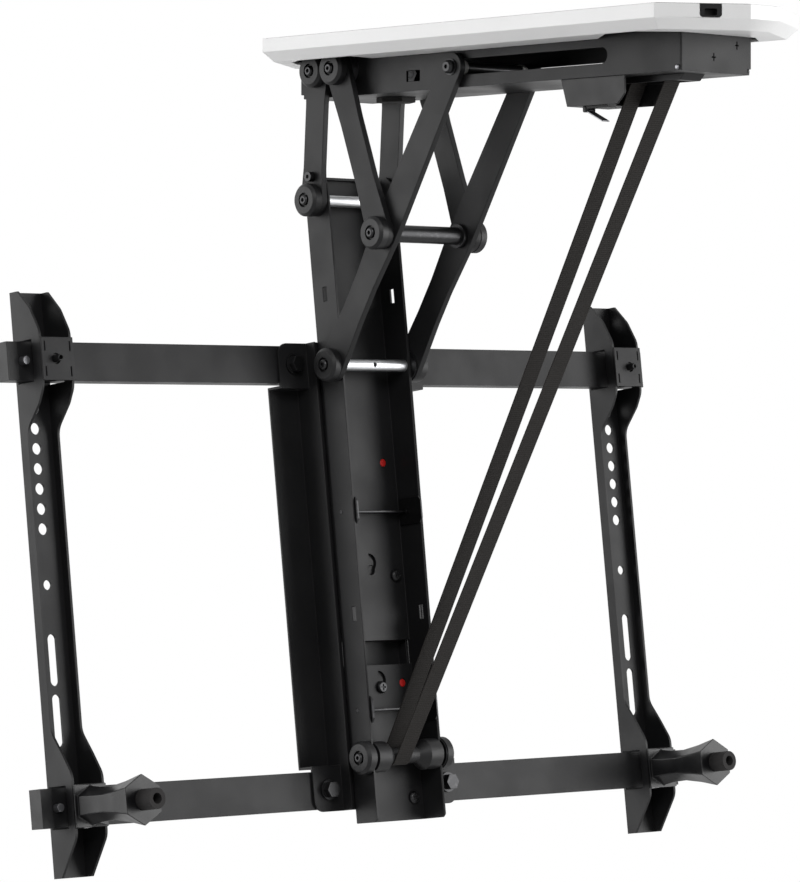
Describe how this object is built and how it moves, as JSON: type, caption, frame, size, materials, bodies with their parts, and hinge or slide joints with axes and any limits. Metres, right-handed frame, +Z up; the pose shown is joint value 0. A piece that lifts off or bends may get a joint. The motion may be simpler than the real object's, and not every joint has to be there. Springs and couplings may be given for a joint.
{
  "type": "motorized tv ceiling mount",
  "caption": "Flip-down ceiling mount: a strap-driven scissor linkage lowers a leaning column with cross rails and television brackets from a covered ceiling frame.",
  "frame": {"origin": "middle of the ceiling plate's upper face, where it meets the ceiling", "axes": "+Z up; +X along the television rails; +Y from the hinge end to the motor end, away from the screen's side"},
  "size_m": [0.643, 0.481, 0.6091],
  "materials": {
    "black_steel": "satin black powder coat",
    "white_cover": "white moulded plastic",
    "grey_steel": "plain zinc-plated steel",
    "black_plastic": "black moulded plastic",
    "strap": "woven black webbing",
    "dark_steel": "black oxide fasteners",
    "board_green": "circuit board",
    "rubber": "black rubber"
  },
  "bodies": {
    "root": {"ceiling_plate": "black_steel", "top_cover": "white_cover", "frame_channel": "black_steel", "end_plate": "black_steel", "frame_screws": "grey_steel", "frame_caps": "black_plastic", "frame_bolts": "dark_steel", "frame_spacers": "dark_steel", "frame_buffer": "rubber", "switch_housing": "black_plastic", "limit_switch": "black_plastic", "strap_guide": "black_plastic", "gearbox": "dark_steel", "motor": "grey_steel", "drum_bearing": "black_plastic", "strap_anchor": "grey_steel", "control_board": "board_green", "mains_socket": "black_plastic", "strap_front": "strap", "strap_rear": "strap"},
    "drum": {"strap_drum": "black_plastic"},
    "lever": {"switch_lever": "grey_steel"},
    "lift_arms": {"lift_arm_near": "black_steel", "lift_arm_far": "black_steel", "cross_tube": "black_steel", "middle_caps": "black_plastic", "middle_bolts": "dark_steel"},
    "cross_arms": {"cross_arm_near": "black_steel", "cross_arm_far": "black_steel", "slider_shaft": "grey_steel", "slider_rollers": "black_plastic", "slider_bolts": "dark_steel"},
    "rear_arms": {"rear_arm_near": "black_steel", "rear_arm_far": "black_steel", "upper_caps": "black_plastic", "upper_bolts": "dark_steel"},
    "column": {"column_channel": "black_steel", "cross_brackets": "black_steel", "column_screws": "grey_steel", "upper_shaft": "grey_steel", "lower_shaft": "grey_steel", "roller_axle": "grey_steel", "column_caps": "black_plastic", "column_bolts": "dark_steel", "carrier_plate": "black_steel", "carrier_bolts": "dark_steel", "upper_rail": "black_steel", "lower_rail": "black_steel", "rail_caps": "black_plastic", "rail_stop_screws": "dark_steel", "strap_loop": "strap"},
    "roller": {"strap_roller": "black_plastic"},
    "near_bracket": {"bracket_near": "black_steel", "clamp_near": "black_steel", "bumper_near": "black_plastic", "bumper_foot_near": "rubber"},
    "far_bracket": {"bracket_far": "black_steel", "clamp_far": "black_steel", "bumper_far": "black_plastic", "bumper_foot_far": "rubber"}
  },
  "joints": [
    {"name": "lift", "type": "hinge", "parent": "root", "child": "lift_arms", "pos_m": [0, -0.1473, -0.0244], "axis": [1, 0, 0], "range_deg": [0, 56.99], "deforming": ["strap_front", "strap_rear"]},
    {"name": "cross_turn", "type": "hinge", "parent": "lift_arms", "child": "cross_arms", "pos_m": [0, -0.10213, -0.14726], "axis": [1, 0, 0], "range_deg": [-105.97, 0]},
    {"name": "column_turn", "type": "hinge", "parent": "cross_arms", "child": "column", "pos_m": [0, -0.16003, -0.24314], "axis": [1, 0, 0], "range_deg": [0, 132.07]},
    {"name": "rear_turn", "type": "hinge", "parent": "root", "child": "rear_arms", "pos_m": [0, -0.1762, -0.0244], "axis": [1, 0, 0], "range_deg": [-51.59, 0]},
    {"name": "drum_turn", "type": "hinge", "parent": "root", "child": "drum", "pos_m": [0, 0.1595, -0.0244], "axis": [1, 0, 0], "continuous": true},
    {"name": "roller_turn", "type": "hinge", "parent": "column", "child": "roller", "pos_m": [0, -0.1265, -0.53341], "axis": [1, 0, 0], "continuous": true},
    {"name": "switch_press", "type": "hinge", "parent": "root", "child": "lever", "pos_m": [0.0225, 0.0917, -0.0664], "axis": [1, 0, 0], "range_deg": [0, 20], "stiffness_Nm_per_rad": 0.004},
    {"name": "near_slide", "type": "slide", "parent": "column", "child": "near_bracket", "axis": [1, 0, 0], "range_m": [-0.15, 0]},
    {"name": "far_slide", "type": "slide", "parent": "column", "child": "far_bracket", "axis": [1, 0, 0], "range_m": [0, 0.15]}
  ],
  "couplings": [
    {"joint": "cross_turn", "follows": "lift", "ratio": -1.8559},
    {"joint": "column_turn", "follows": "lift", "ratio": 2.314},
    {"joint": "rear_turn", "follows": "lift", "ratio": -0.9017}
  ]
}
